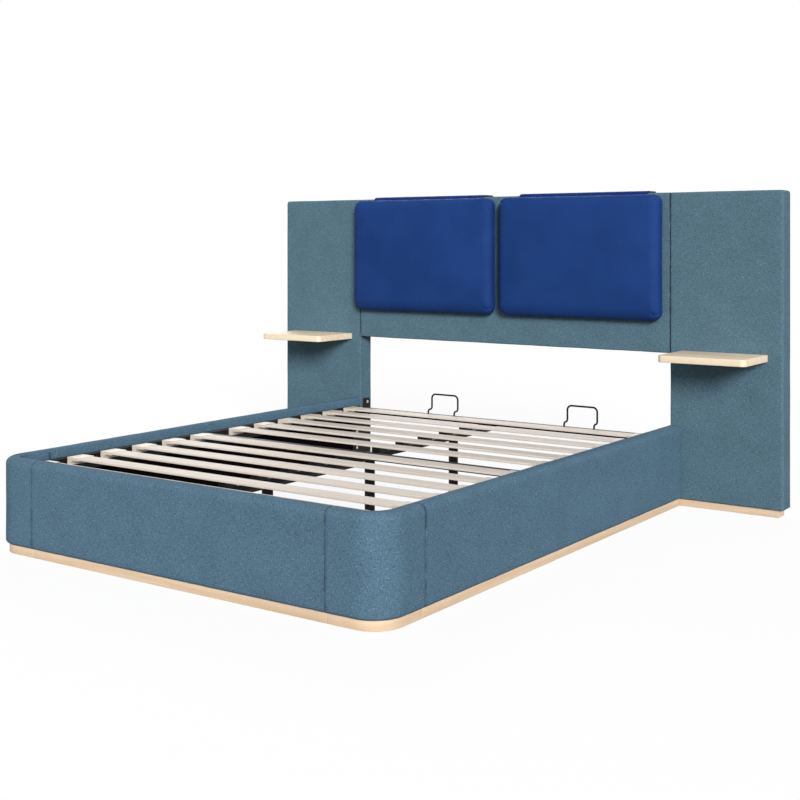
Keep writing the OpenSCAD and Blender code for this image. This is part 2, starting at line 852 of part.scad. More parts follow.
mattress_hoops();
bolts();
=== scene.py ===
import bmesh
import bpy
import numpy as np
from math import pi, radians
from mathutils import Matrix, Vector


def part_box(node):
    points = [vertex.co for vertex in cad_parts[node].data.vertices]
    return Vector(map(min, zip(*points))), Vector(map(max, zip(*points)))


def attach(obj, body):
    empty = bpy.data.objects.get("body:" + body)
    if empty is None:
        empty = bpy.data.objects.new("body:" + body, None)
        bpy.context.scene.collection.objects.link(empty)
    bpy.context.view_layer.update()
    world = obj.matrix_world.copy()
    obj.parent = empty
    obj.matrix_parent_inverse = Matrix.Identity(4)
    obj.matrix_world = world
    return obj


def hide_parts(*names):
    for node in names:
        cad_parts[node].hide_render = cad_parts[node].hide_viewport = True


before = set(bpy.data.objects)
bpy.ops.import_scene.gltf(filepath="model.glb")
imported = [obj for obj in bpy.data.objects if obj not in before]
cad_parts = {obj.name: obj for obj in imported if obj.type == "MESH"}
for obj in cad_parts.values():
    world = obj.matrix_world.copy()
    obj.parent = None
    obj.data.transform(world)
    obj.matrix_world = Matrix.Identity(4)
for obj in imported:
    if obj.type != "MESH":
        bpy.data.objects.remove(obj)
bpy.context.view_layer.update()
print("frame loaded:", len(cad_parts), "nodes")


# values read from the frame
footLow, footHigh = (np.array(c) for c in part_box("foot_rail_cover"))
panelLow, panelHigh = (np.array(c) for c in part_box("panel_cover"))
wingLow, wingHigh = (np.array(c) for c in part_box("wing_cover_right"))
footY, headY = footLow[1], panelLow[1]
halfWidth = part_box("side_rail_cover_right")[1][0]


def screenColour(red, green, blue):
    # a colour as seen on the screen, 0 to 255, turned into the linear one that shaders use
    c = np.array([red, green, blue]) / 255
    return (*np.where(c > 0.04045, ((c + 0.055) / 1.055) ** 2.4, c / 12.92).tolist(), 1.0)


# helpers for shader nodes
def addNode(tree, kind, values=None, **settings):
    # values are links or constants for the node's inputs, settings its own properties
    node = tree.nodes.new("ShaderNode" + kind)
    for key, value in settings.items():
        setattr(node, key, value)
    for key, value in (values or {}).items():
        if isinstance(value, bpy.types.NodeSocket):
            tree.links.new(value, node.inputs[key])
        else:
            node.inputs[key].default_value = value
    return node


def calc(tree, operation, a, b=0.0):
    # a and b joined by one operation
    return addNode(tree, "Math", {0: a, 1: b}, operation=operation).outputs[0]


def remap(tree, value, low, high, newLow=0.0, newHigh=1.0):
    # low to high becomes newLow to newHigh, softly at both ends
    values = {0: value, 1: low, 2: high, 3: newLow, 4: newHigh}
    return addNode(tree, "MapRange", values, interpolation_type="SMOOTHSTEP").outputs[0]


def mixColour(tree, factor, a, b, blend="MIX"):
    # a goes over to b by the factor, or is multiplied by it
    return addNode(tree, "Mix", {0: factor, 6: a, 7: b}, data_type="RGBA", blend_type=blend).outputs[2]


def greyOf(tree, value):
    # the same value in all three channels
    return addNode(tree, "CombineColor", {0: value, 1: value, 2: value}).outputs[0]


def stretched(tree, vector, x, y, z):
    # each direction times its own number
    return addNode(tree, "VectorMath", {0: vector, 1: (x, y, z)}, operation="MULTIPLY").outputs[0]


def noise(tree, vector, scale, detail=2.0, rough=0.5, bent=0.0):
    # clouds of about 1 / scale metres
    values = {"Vector": vector, "Scale": scale, "Detail": detail, "Roughness": rough, "Distortion": bent}
    return addNode(tree, "TexNoise", values).outputs["Fac"]


def newGroup(name, colours, numbers):
    # takes a vector, the named colours and the numbers; puts out Color, Height and Roughness
    group = bpy.data.node_groups.new(name, "ShaderNodeTree")
    socket = group.interface.new_socket
    socket("Vector", in_out="INPUT", socket_type="NodeSocketVector")
    for label in colours:
        socket(label, in_out="INPUT", socket_type="NodeSocketColor")
    for label, value in numbers.items():
        socket(label, in_out="INPUT", socket_type="NodeSocketFloat").default_value = value
    for label, kind in (("Color", "Color"), ("Height", "Float"), ("Roughness", "Float")):
        socket(label, in_out="OUTPUT", socket_type="NodeSocket" + kind)
    source, sink = group.nodes.new("NodeGroupInput"), group.nodes.new("NodeGroupOutput")
    return group, source.outputs, sink.inputs


def wovenClothGroup():
    # threads cross at Pitch, slubs are noise drawn out along each thread, mottle is light and dark flecks
    group, given, out = newGroup("wovenCloth", ["Base", "Light", "Dark"], {"Pitch": 0.002, "Mottle": 230.0})
    link = group.links.new
    perMetre = calc(group, "DIVIDE", 1.0, given["Pitch"])
    scaled = addNode(group, "VectorMath", {0: given["Vector"], "Scale": perMetre}, operation="SCALE").outputs[0]
    parts = addNode(group, "SeparateXYZ", {0: scaled})
    warp = calc(group, "SINE", calc(group, "MULTIPLY", parts.outputs[0], 2 * pi))
    weft = calc(group, "SINE", calc(group, "MULTIPLY", parts.outputs[1], 2 * pi))
    crossing = calc(group, "MULTIPLY", warp, weft)
    slubWarp = noise(group, stretched(group, given["Vector"], 520, 60, 1), 1.0, 2.0)
    slubWeft = noise(group, stretched(group, given["Vector"], 60, 520, 1), 1.0, 2.0)
    slub = calc(group, "ADD", slubWarp, slubWeft)
    fleck = noise(group, given["Vector"], given["Mottle"], 2.0, 0.6, 1.1)
    cloud = noise(group, given["Vector"], 9.0, 2.0, 0.5)
    light = remap(group, fleck, 0.55, 0.72)
    dark = remap(group, fleck, 0.46, 0.30)
    colour = mixColour(group, calc(group, "MULTIPLY", light, 0.75), given["Base"], given["Light"])
    colour = mixColour(group, calc(group, "MULTIPLY", dark, 0.8), colour, given["Dark"])
    thread = remap(group, slub, 0.7, 1.3, 0.86, 1.14)
    colour = mixColour(group, 1.0, colour, greyOf(group, thread), "MULTIPLY")
    broad = remap(group, cloud, 0.25, 0.75, 0.95, 1.05)
    colour = mixColour(group, 1.0, colour, greyOf(group, broad), "MULTIPLY")
    link(colour, out["Color"])
    height = calc(group, "ADD", calc(group, "MULTIPLY", crossing, 0.25), calc(group, "MULTIPLY", slub, 0.5))
    height = calc(group, "ADD", height, calc(group, "MULTIPLY", fleck, 0.9))
    link(height, out["Height"])
    link(remap(group, fleck, 0.3, 0.7, 0.95, 0.82), out["Roughness"])
    return group


def leatherGroup():
    # pebbles are cells with creased borders, on soft uneven folds; the colour deepens in the creases
    group, given, out = newGroup("leatherGrain", ["Base", "Deep"], {"Cells": 620.0})
    link = group.links.new
    values = {"Vector": given["Vector"], "Scale": 90.0, "Detail": 2.0}
    wobble = addNode(group, "TexNoise", values).outputs["Color"]
    bent = addNode(group, "VectorMath", {0: given["Vector"], 1: stretched(group, wobble, 0.004, 0.004, 0.004)},
                   operation="ADD").outputs[0]
    border = addNode(group, "TexVoronoi", {"Vector": bent, "Scale": given["Cells"]},
                     feature="DISTANCE_TO_EDGE").outputs["Distance"]
    pebble = remap(group, border, 0.0, 0.22)
    fold = noise(group, given["Vector"], 26.0, 3.0, 0.55)
    broad = noise(group, given["Vector"], 5.0, 2.0, 0.5)
    shade = calc(group, "MULTIPLY", calc(group, "SUBTRACT", 1.0, pebble), 0.35)
    shade = calc(group, "ADD", shade, remap(group, broad, 0.35, 0.7, 0.0, 0.22))
    link(mixColour(group, shade, given["Base"], given["Deep"]), out["Color"])
    link(calc(group, "ADD", calc(group, "MULTIPLY", pebble, 0.25), fold), out["Height"])
    link(remap(group, fold, 0.3, 0.7, 0.60, 0.74), out["Roughness"])
    return group


def woodGroup():
    # X runs along the grain: year rings are bent bands across it, pores and fibres are noise drawn out along it
    group, given, out = newGroup("woodGrain", ["Light", "Ring", "Pore"], {"Rings": 34.0})
    link = group.links.new
    drawn = stretched(group, given["Vector"], 0.9, 9.0, 9.0)
    bend = noise(group, drawn, 1.0, 3.0, 0.5, 0.4)
    parts = addNode(group, "SeparateXYZ", {0: given["Vector"]})
    across = calc(group, "ADD", parts.outputs[1], calc(group, "MULTIPLY", parts.outputs[2], 0.6))
    bands = calc(group, "MULTIPLY", across, given["Rings"])
    phase = calc(group, "ADD", bands, calc(group, "MULTIPLY", bend, 5.0))
    wave = calc(group, "SINE", calc(group, "MULTIPLY", phase, pi))
    ring = calc(group, "POWER", calc(group, "ABSOLUTE", wave), 3.0)
    fibre = noise(group, stretched(group, given["Vector"], 14, 620, 620), 1.0, 2.0, 0.6)
    pore = remap(group, noise(group, stretched(group, given["Vector"], 38, 900, 900), 1.0, 1.0), 0.60, 0.72)
    tone = noise(group, stretched(group, given["Vector"], 1.2, 14, 14), 1.0, 2.0)
    colour = mixColour(group, calc(group, "MULTIPLY", ring, 0.55), given["Light"], given["Ring"])
    streak = calc(group, "MULTIPLY", remap(group, fibre, 0.4, 0.7), 0.35)
    colour = mixColour(group, streak, colour, given["Ring"])
    colour = mixColour(group, calc(group, "MULTIPLY", pore, 0.35), colour, given["Pore"])
    colour = mixColour(group, remap(group, tone, 0.35, 0.75, 0.0, 0.25), colour, given["Pore"])
    link(colour, out["Color"])
    height = calc(group, "SUBTRACT", calc(group, "MULTIPLY", fibre, 0.5), calc(group, "MULTIPLY", pore, 0.6))
    link(height, out["Height"])
    link(remap(group, fibre, 0.3, 0.7, 0.50, 0.62), out["Roughness"])
    return group


def speckleGroup():
    # a fine even skin, such as powder coat or moulded plastic: small bumps and a slight drift of the tone
    group, given, out = newGroup("fineSkin", ["Base"], {"Grain": 900.0, "Drift": 0.12, "Rough": 0.5})
    link = group.links.new
    bump = noise(group, given["Vector"], given["Grain"], 2.0, 0.6)
    drift = noise(group, given["Vector"], 11.0, 3.0, 0.6)
    centred = calc(group, "SUBTRACT", drift, 0.5)
    swing = calc(group, "MULTIPLY", centred, calc(group, "MULTIPLY", given["Drift"], 2.0))
    tint = greyOf(group, calc(group, "ADD", 1.0, swing))
    link(mixColour(group, 1.0, given["Base"], tint, "MULTIPLY"), out["Color"])
    link(bump, out["Height"])
    link(calc(group, "ADD", given["Rough"], calc(group, "MULTIPLY", swing, 0.6)), out["Roughness"])
    return group


groups = {"cloth": wovenClothGroup(), "leather": leatherGroup(), "wood": woodGroup(), "skin": speckleGroup()}
# the near-black of the painted shade in the cloth's seams
seamShadeTone = (0.004, 0.005, 0.006, 1)
alongY, alongZ = (0, 0, radians(-90)), (0, radians(90), 0)  # turns of the grain, which lies along X without one


def newMaterial(name, group, values, bump, coordinate="object", turn=None, seamShadeAmount=0, specular=0.5, metal=0.0):
    # values are the group's numbers and its colours as seen on the screen, bump is (height in metres, strength),
    # the seam argument is how much painted shade darkens the cloth in its seams, by the piece's own attribute
    material = bpy.data.materials.new(name)
    material.use_nodes = True
    tree = material.node_tree
    tree.nodes.clear()
    if coordinate == "uv":
        vector = addNode(tree, "UVMap", uv_map="pieceUV").outputs[0]
    else:
        vector = addNode(tree, "TexCoord").outputs["Object"]
    if turn:
        vector = addNode(tree, "Mapping", {"Vector": vector, "Rotation": turn}).outputs[0]
    effect = tree.nodes.new("ShaderNodeGroup")
    effect.node_tree = groups[group]
    tree.links.new(vector, effect.inputs["Vector"])
    for key, value in values.items():
        effect.inputs[key].default_value = screenColour(*value) if isinstance(value, tuple) else value
    relief = {"Height": effect.outputs["Height"], "Distance": bump[0], "Strength": bump[1]}
    height = addNode(tree, "Bump", relief)
    colour = effect.outputs["Color"]
    if seamShadeAmount:
        # painted shade in the seams: the cloth goes towards near black by the piece's own attribute
        near = addNode(tree, "Attribute", attribute_name="paintedSeamShade").outputs["Fac"]
        colour = mixColour(tree, calc(tree, "MULTIPLY", near, seamShadeAmount), colour, seamShadeTone)
    surface = addNode(tree, "BsdfPrincipled", {
        "Base Color": colour, "Roughness": effect.outputs["Roughness"], "Normal": height.outputs[0],
        "Specular IOR Level": specular, "Metallic": metal})
    sink = tree.nodes.new("ShaderNodeOutputMaterial")
    tree.links.new(surface.outputs[0], sink.inputs[0])
    return material


weave = {"Pitch": 0.0022, "Mottle": 250.0}
oakTones = {"Light": (240, 214, 182), "Ring": (224, 190, 154), "Pore": (188, 150, 112)}
shelfTones = {"Light": (255, 243, 214), "Ring": (246, 208, 174), "Pore": (216, 172, 136)}
beechTones = {"Light": (236, 226, 214), "Ring": (222, 209, 195), "Pore": (200, 184, 167), "Rings": 55.0}
timberTones = {"Light": (214, 188, 148), "Ring": (190, 158, 114), "Pore": (150, 118, 80), "Rings": 26.0}
darkTones = {"Light": (22, 17, 15), "Ring": (17, 13, 12), "Pore": (11, 9, 8), "Rings": 26.0}

materials = {
    "upholstery": newMaterial("upholsteryWeave", "cloth", {
        "Base": (88, 118, 138), "Light": (132, 161, 179), "Dark": (45, 69, 87), **weave},
        (0.0009, 0.7), "uv", seamShadeAmount=0.9, specular=0.12),
    "headUpholstery": newMaterial("headboardWeave", "cloth", {
        "Base": (88, 117, 132), "Light": (132, 160, 172), "Dark": (46, 69, 82), **weave},
        (0.0009, 0.7), "uv", seamShadeAmount=0.9, specular=0.12),
    "leather": newMaterial("blueLeather", "leather", {"Base": (31, 66, 129), "Deep": (17, 42, 96)},
                           (0.0005, 0.45), specular=0.10),
    "flap": newMaterial("navyLeather", "leather", {"Base": (22, 52, 118), "Deep": (12, 30, 80)},
                        (0.0004, 0.4), specular=0.07),
    "flapEdge": newMaterial("blackEdge", "skin", {"Base": (16, 16, 22), "Grain": 500.0},
                            (0.0002, 0.4), specular=0.2),
    "oakX": newMaterial("oakAlongX", "wood", oakTones, (0.0003, 0.4)),
    "shelfOak": newMaterial("shelfOak", "wood", shelfTones, (0.0003, 0.4)),
    "oakUV": newMaterial("oakAlongPath", "wood", oakTones, (0.0003, 0.4), "uv"),
    "beech": newMaterial("beechSlat", "wood", beechTones, (0.0002, 0.4), specular=0.2),
    **{"timber" + axis: newMaterial("timberAlong" + axis, "wood", timberTones, (0.0003, 0.5), turn=turn)
       for axis, turn in (("X", None), ("Y", alongY), ("Z", alongZ))},
    "blackTimber": newMaterial("mattBlackTimber", "wood", darkTones, (0.0003, 0.5), turn=alongY, specular=0.2),
    "blackSteel": newMaterial("blackPowderCoat", "skin", {
        "Base": (14, 11, 10), "Grain": 1300.0, "Drift": 0.10, "Rough": 0.48}, (0.0002, 0.35), specular=0.15),
    "zinc": newMaterial("zincPlate", "skin", {
        "Base": (205, 207, 212), "Grain": 420.0, "Drift": 0.18, "Rough": 0.32}, (0.0001, 0.3), metal=1.0),
    "beige": newMaterial("beigePlastic", "skin", {
        "Base": (224, 212, 196), "Grain": 700.0, "Drift": 0.05, "Rough": 0.42}, (0.0001, 0.3)),
    "blackPlastic": newMaterial("blackPlastic", "skin", {"Base": (14, 12, 12), "Grain": 800.0, "Rough": 0.5},
                                (0.0002, 0.35), specular=0.3),
    "backCloth": newMaterial("blackBackCloth", "cloth", {
        "Base": (36, 34, 35), "Light": (58, 55, 56), "Dark": (20, 19, 20), "Pitch": 0.0012, "Mottle": 480.0},
        (0.0004, 0.6), "uv", specular=0.15),
    "lining": newMaterial("blackLining", "cloth", {
        "Base": (14, 10, 9), "Light": (26, 20, 18), "Dark": (8, 6, 6), "Pitch": 0.0015, "Mottle": 420.0},
        (0.0005, 0.6), "uv", specular=0.03),
}
print("materials made:", len(materials))


# helpers for surfaces
def patch(points, uv, closeColumns=False):
    # a grid of points as quads; closed columns join the last line to the first, and uv has one line more there
    rows, columns = points.shape[:2]
    i, j = np.meshgrid(np.arange(rows - 1), np.arange(columns - (not closeColumns)), indexing="ij")
    around = [(0, 0), (0, 1), (1, 1), (1, 0)]
    quads = np.stack([(i + a) * columns + (j + b) % columns for a, b in around], -1).reshape(-1, 4)
    corners = np.stack([uv[i + a, j + b] for a, b in around], 2).reshape(-1, 2)
    return points.reshape(-1, 3), quads, corners


def cap(points, uv):
    # one flat face over a closed line of points
    return points, np.arange(len(points))[None, :], uv


merge = {"new": 2e-5, "cad": 1e-5}  # points nearer than this become one


def addObject(name, mesh, smoothBelow=35):
    # the mesh in the scene, smooth except at edges sharper than smoothBelow degrees
    mesh.polygons.foreach_set("use_smooth", np.ones(len(mesh.polygons), bool))
    mesh.set_sharp_from_angle(angle=radians(smoothBelow))
    piece = bpy.data.objects.new(name, mesh)
    bpy.context.scene.collection.objects.link(piece)
    return piece


def buildPiece(name, patches, smoothBelow=35):
    # all patches in one mesh: points that meet are merged, and every face looks outwards
    starts = np.cumsum([0] + [len(p[0]) for p in patches[:-1]])
    faces = [face for (_, quads, _), start in zip(patches, starts) for face in (quads + start).tolist()]
    mesh = bpy.data.meshes.new(name)
    mesh.from_pydata(np.concatenate([p[0] for p in patches]).tolist(), [], faces)
    mesh.uv_layers.new(name="pieceUV").data.foreach_set("uv", np.concatenate([p[2] for p in patches]).ravel())
    shell = bmesh.new()
    shell.from_mesh(mesh)
    bmesh.ops.remove_doubles(shell, verts=shell.verts, dist=merge["new"])
    bmesh.ops.recalc_face_normals(shell, faces=shell.faces)
    shell.to_mesh(mesh)
    shell.free()
    return addObject(name, mesh, smoothBelow)


def dress(piece, material, replaced=(), body="bed"):
    # one material, the body it rides on and the CAD nodes it stands for
    piece.data.materials.clear()
    piece.data.materials.append(materials[material])
    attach(piece, body)
    if replaced:
        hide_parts(*replaced)
    return piece


def faceValues(piece):
    # the mean of each face's corners on the UV map, and its normal
    mesh, count = piece.data, len(piece.data.polygons)
    corners, normals = np.empty(len(mesh.loops) * 2), np.empty(count * 3)
    starts, totals = np.empty((2, count), int)
    mesh.uv_layers["pieceUV"].data.foreach_get("uv", corners)
    mesh.polygons.foreach_get("loop_start", starts)
    mesh.polygons.foreach_get("loop_total", totals)
    mesh.polygons.foreach_get("normal", normals)
    return np.add.reduceat(corners.reshape(-1, 2), starts) / totals[:, None], normals.reshape(-1, 3)


def secondFinish(piece, material, chosen):
    # the chosen faces are painted with another material
    piece.data.materials.append(materials[material])
    piece.data.polygons.foreach_set("material_index", chosen.astype(int))


def moved(piece, change):
    # change gets the points and their normals as arrays and gives the new points
    mesh = piece.data
    points, normals = np.empty((2, len(mesh.vertices) * 3))
    mesh.vertices.foreach_get("co", points)
    mesh.vertex_normals.foreach_get("vector", normals)
    mesh.vertices.foreach_set("co", change(points.reshape(-1, 3), normals.reshape(-1, 3)).ravel())
    mesh.update()


def wander(points, length, seed):
    # slow unevenness, about -1 to 1: nine plane waves in random directions, about length from crest to crest
    dice, count = np.random.default_rng(seed), 9
    direction = dice.normal(size=(count, 3))
    direction /= np.linalg.norm(direction, axis=1)[:, None]
    wave = 2 * pi / (length * dice.uniform(0.6, 1.6, count))
    phase = points @ (direction * wave[:, None]).T + dice.uniform(0, 2 * pi, count)
    return np.sin(phase).sum(1) / np.sqrt(count)


def places(low, high, lowRadii, highRadii, spacing, extra=()):
    # lines across one side of a box: close together in each rounding (r tan of even angles), even between
    turn = 1 - np.tan(np.linspace(pi / 4, 0, 6))
    start = [low + r * turn for r in lowRadii]
    end = [high - r * turn for r in highRadii]
    first, last = low + max(lowRadii), high - max(highRadii)
    middle = np.linspace(first, last, max(2, int(np.ceil((last - first) / spacing)) + 1))
    return np.unique(np.round(np.concatenate([*start, middle, *end, np.array(extra)]), 6))


def pressCorners(points, a, b, low, high, radii):
    # in the plane of axes a and b, each corner square of side r is pressed to a quarter disc: a point at offset
    # o from the square's inner corner goes to o * max|o| / |o|. radii: low-low, high-low, high-high, low-high
    for (sideA, sideB), r in zip([(-1, -1), (1, -1), (1, 1), (-1, 1)], radii):
        innerA = (high[a] if sideA > 0 else low[a]) - sideA * r
        innerB = (high[b] if sideB > 0 else low[b]) - sideB * r
        offA, offB = sideA * (points[..., a] - innerA), sideB * (points[..., b] - innerB)
        inside = (offA > 0) & (offB > 0)
        share = np.where(inside, np.maximum(offA, offB) / np.maximum(np.hypot(offA, offB), 1e-12), 1)
        points[..., a] = np.where(inside, innerA + sideA * offA * share, points[..., a])
        points[..., b] = np.where(inside, innerB + sideB * offB * share, points[..., b])


rimStep = 2e-4  # how far the sunk part of a back stays inside its rim


def softBox(low, high, spacing, plan, side, front, recess=None):
    # a box as six grids whose twelve edges are pressed round, each with its own radius. plan, side and front are
    # the radii in the x-y, y-z and x-z planes, each low-low, high-low, high-high, low-high. recess = (rim, depth)
    # sinks the back inside a rim
    radii = {(0, 1): plan, (1, 2): side, (0, 2): front}
    ends = {0: ([plan[0], plan[3], front[0], front[3]], [plan[1], plan[2], front[1], front[2]]),
            1: ([plan[0], plan[1], side[0], side[3]], [plan[2], plan[3], side[1], side[2]]),
            2: ([side[0], side[1], front[0], front[1]], [side[2], side[3], front[2], front[3]])}
    rims = {k: [low[k] + recess[0], low[k] + recess[0] + rimStep,
                high[k] - recess[0], high[k] - recess[0] - rimStep]
            if recess and k != 1 else [] for k in range(3)}
    lines = {k: places(low[k], high[k], *ends[k], spacing, rims[k]) for k in range(3)}
    patches = []
    for k, level in [(k, level) for k in range(3) for level in (low[k], high[k])]:
        a, b = [axis for axis in range(3) if axis != k]
        points = np.zeros((len(lines[a]), len(lines[b]), 3))
        points[..., a], points[..., b] = np.meshgrid(lines[a], lines[b], indexing="ij")
        points[..., k] = level
        uv = points[..., [a, b]].copy()
        if recess and k == 1 and level == high[1]:
            x, z, rim = points[..., 0], points[..., 2], recess[0] + rimStep / 2
            inner = (np.minimum(x - low[0], high[0] - x) > rim) & (np.minimum(z - low[2], high[2] - z) > rim)
            points[..., 1] -= np.where(inner, recess[1], 0)
        for (first, second), corners in radii.items():
            pressCorners(points, first, second, low, high, corners)
        patches.append(patch(points, uv))
    return patches


def roundedLoop(corners, radii, spacing=0.02, steps=7):
    # a closed outline through corners, each turned by an arc of its radius: points, outward normals, length
    corners = np.array(corners, float)
    before, after = np.roll(corners, 1, 0) - corners, np.roll(corners, -1, 0) - corners
    before /= np.linalg.norm(before, axis=1)[:, None]
    after /= np.linalg.norm(after, axis=1)[:, None]
    points = []
    for corner, d1, d2, r in zip(corners, before, after, radii):
        if r < 1e-6:
            points.append(corner[None])
            continue
        half = np.arccos(np.clip(d1 @ d2, -1, 1)) / 2
        middle = corner + (d1 + d2) / np.linalg.norm(d1 + d2) * r / np.sin(half)
        start, end = corner + d1 * r / np.tan(half), corner + d2 * r / np.tan(half)
        a, b = start - middle, end - middle
        angle = np.arccos(np.clip(a @ b / r ** 2, -1, 1))
        t = np.linspace(0, 1, steps)[:, None]
        points.append(middle + (np.sin((1 - t) * angle) * a + np.sin(t * angle) * b) / np.sin(angle))
    points = np.concatenate(points)
    following = np.roll(points, -1, 0)
    count = np.maximum(1, np.ceil(np.linalg.norm(following - points, axis=1) / spacing)).astype(int)
    points = np.concatenate([p + (q - p) * np.arange(n)[:, None] / n
                             for p, q, n in zip(points, following, count)])
    step = np.roll(points, -1, 0) - points
    length = np.concatenate([[0], np.cumsum(np.linalg.norm(step, axis=1))])
    step /= np.linalg.norm(step, axis=1)[:, None]
    normal = np.stack([step[:, 1], -step[:, 0]], 1)
    normal = normal + np.roll(normal, 1, 0)
    normal /= np.linalg.norm(normal, axis=1)[:, None]
    area = np.sum(points[:, 0] * np.roll(points[:, 1], -1) - np.roll(points[:, 0], -1) * points[:, 1])
    return points, normal * np.sign(area), length


def turnIn(distance, radius):
    # how far a surface has come in at this distance from its end, on a quarter circle
    reach = np.clip(distance / radius, 0, 1)
    return radius * (1 - np.sqrt(1 - (1 - reach) ** 2))


def sweep(path, inward, section, normals, length, endRadius, yielding=None):
    # the section's point (t, z) goes to path + inward t at height z, drawn in along its normal near both ends
    along = np.concatenate([[0], np.cumsum(np.linalg.norm(np.diff(path, axis=0), axis=1))])
    inset = turnIn(np.minimum(along, along[-1] - along), endRadius) if endRadius else np.zeros(len(along))
    give = np.ones(len(section)) if yielding is None else yielding
    flat = section[None] - inset[:, None, None] * (normals * give[:, None])[None]
    points = np.concatenate([path[:, None] + inward[:, None] * flat[..., :1], flat[..., 1:]], -1)
    uv = np.stack(np.broadcast_arrays(along[:, None], length[None]), -1)
    closing = [cap(points[row], section) for row in (0, -1)]
    return [patch(points, uv, closeColumns=True), *closing]


def spread(stops, spacing, endRadius=0.003):
    # lines along a run: even between the stops, and close together where both ends turn in
    middle = [np.linspace(a, b, max(2, int(np.ceil((b - a) / spacing)) + 1))
              for a, b in zip(stops[:-1], stops[1:])]
    ends = endRadius * (1 - np.cos(np.linspace(0, pi / 2, 6)))
    return np.unique(np.round(np.concatenate([*middle, stops[0] + ends, stops[-1] - ends]), 6))


# rails and plinth
rail = {
    "thick": 0.050, "pad": 0.009, "wrap": 0.005, "wrapDrop": 0.042, "lip": 0.002,
    "topRadius": 0.022, "innerRadius": 0.007, "lowRadius": 0.0135, "hemRadius": 0.0015,
    "outerDrop": 0.0025, "dropReach": 0.05, "seamRadius": 0.0035, "seamWidth": 0.0026,
    "footSeam": 0.0001, "sideSeam": 0.0002,
    "cornerRadius": 0.108, "cornerAlongFoot": 0.209, "cornerAlongSide": 0.212,
    "spacing": 0.016, "sectionSpacing": 0.014, "seed": 11,
    "ripple": 0.0006, "rippleLength": 0.11, "pucker": 0.0007, "puckerLength": 0.018,
}
plinth = {"inset": 0.012, "height": 0.031, "filletTop": 0.053, "filletThick": 0.019, "filletEdge": 0.003,
          "edge": 0.0016, "jointGap": 0.0006, "jointEdge": 0.0010, "spacing": 0.03, "sectionSpacing": 0.05}
# how strong the painted shade in the seams is
seamShadeStrength = {"foot": (0.7, 0.7), "corner": (0.7, 1.0), "side": (1.0, 0.3)}  # at each run's two ends
boardThick = rail["thick"] - rail["wrap"]


def railPath(run, spacing, endRadius=0.003, footGap=0.0, sideGap=0.0):
    # plan points and inward directions of a run on the right half, kept short of its seams
    r, inner = rail["cornerRadius"], halfWidth - rail["cornerRadius"]
    arc, footEnd = r * pi / 2, halfWidth - rail["cornerAlongFoot"]
    sideStart = inner + arc + rail["cornerAlongSide"] - r
    stops = {
        "foot": [-footEnd + footGap, footEnd - footGap],
        "corner": [footEnd + footGap, inner, inner + arc, sideStart - sideGap],
        "side": [sideStart + sideGap, inner + arc + headY - footY - r],
    }[run]
    s = spread(stops, spacing, endRadius)
    angle = np.clip((s - inner) / r, 0, pi / 2)
    x = np.where(s < inner, s, inner + r * np.sin(angle))
    y = footY + r * (1 - np.cos(angle)) + np.maximum(s - inner - arc, 0)
    return np.stack([x, y], 1), np.stack([-np.sin(angle), np.cos(angle)], 1)


def mirrored(patches, side):
    # the same on the left half where side is negative
    return [(points * [side, 1, 1], faces, uv) for points, faces, uv in patches]


seam = {"foldReach": 0.016, "speck": 0.012, "held": 0.003, "slack": 1e-4}


def padRipple(piece, shape, seams):
    # the foam gives a little, always inwards, with small folds beside each seam (point, direction, strength),
    # which runs upwards from its point. The strength is that of the painted shade the seam gets in its attribute,
    # strength * exp(-(distance / width)^2), a little uneven
    near, seed = np.zeros(len(piece.data.vertices)), shape["seed"]

    def change(points, normals):
        depth = shape["ripple"] * np.clip(0.5 + 0.5 * wander(points, shape["rippleLength"], seed), 0, 1)
        for place, direction, strength in seams:
            away, above = np.abs((points - place) @ direction), points[:, 2] > place[2] - seam["slack"]
            uneven = np.clip(0.5 + 0.6 * wander(points, shape["puckerLength"], seed + 5), 0, 1)
            depth += np.where(above, shape["pucker"] * np.exp(-away / seam["foldReach"]) * uneven, 0)
            # the face inside the seam lies on its neighbour, so it stays where it is
            depth *= 1 - above * np.exp(-(away / seam["held"]) ** 2) * np.abs(normals @ direction)
            # the seam's painted shade, a little uneven in specks
            specks = np.clip(0.8 + 0.45 * wander(points, seam["speck"], seed + 9), 0, 1)
            near[:] = np.maximum(near, above * strength * np.exp(-(away / shape["seamWidth"]) ** 2) * specks)
        return points - normals * depth[:, None]
    moved(piece, change)
    piece.data.attributes.new("paintedSeamShade", "FLOAT", "POINT").data.foreach_set("value", near)


topZ, lowZ = footHigh[2], footLow[2]
coverCorners = [
    (boardThick, lowZ), (0, lowZ), (0, topZ), (rail["thick"], topZ), (rail["thick"], topZ - rail["wrapDrop"]),
    (boardThick, topZ - rail["wrapDrop"]), (boardThick, topZ - rail["pad"]), (rail["pad"], topZ - rail["pad"]),
    (rail["pad"], lowZ + rail["lip"]), (boardThick, lowZ + rail["lip"])]
coverRadii = [0, rail["lowRadius"], rail["topRadius"], rail["innerRadius"], rail["hemRadius"], 0, 0, 0, 0, 0]
coverSection, coverNormals, coverLength = roundedLoop(coverCorners, coverRadii, rail["sectionSpacing"])
# the padded top falls a little towards the outside
outwards = np.clip(1 - coverSection[:, 0] / rail["thick"], 0, 1)
upwards = np.clip((coverSection[:, 1] - topZ) / rail["dropReach"] + 1, 0, 1)
coverSection[:, 1] -= rail["outerDrop"] * (outwards * upwards)
# what lies on the board keeps its place where the cover turns in at a seam
onBoard = (coverSection[:, 0] > rail["pad"] - 1e-5) & (coverSection[:, 0] < boardThick + 1e-5) & (
    coverSection[:, 1] < topZ - rail["pad"] + 1e-5)
coverGive = np.where(onBoard, 0.0, 1.0)

